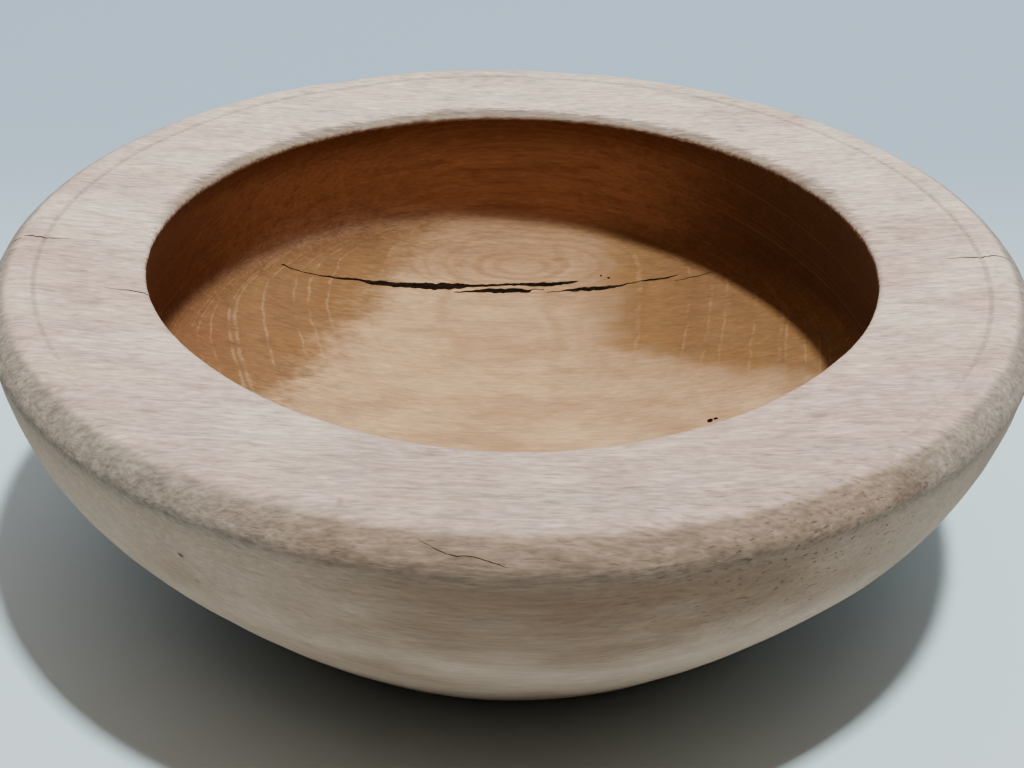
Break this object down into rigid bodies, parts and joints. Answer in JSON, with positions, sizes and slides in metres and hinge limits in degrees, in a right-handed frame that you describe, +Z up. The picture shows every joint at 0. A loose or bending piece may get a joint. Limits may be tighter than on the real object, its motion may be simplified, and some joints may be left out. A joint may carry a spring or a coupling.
{
  "type": "turned wooden bowl",
  "caption": "Heavy round wooden bowl with a thick flat rim, scribed ring, undercut hollow and a drying crack in its floor.",
  "frame": {"origin": "centre of the flat base the bowl stands on", "axes": "+Z up along the turning axis, X along the wood's grain, -Y towards the near side of the rim"},
  "size_m": [0.2996, 0.2996, 0.1],
  "materials": {
    "wood": "dry, weathered, unvarnished"
  },
  "bodies": {
    "root": {"bowl": "wood"}
  },
  "joints": []
}
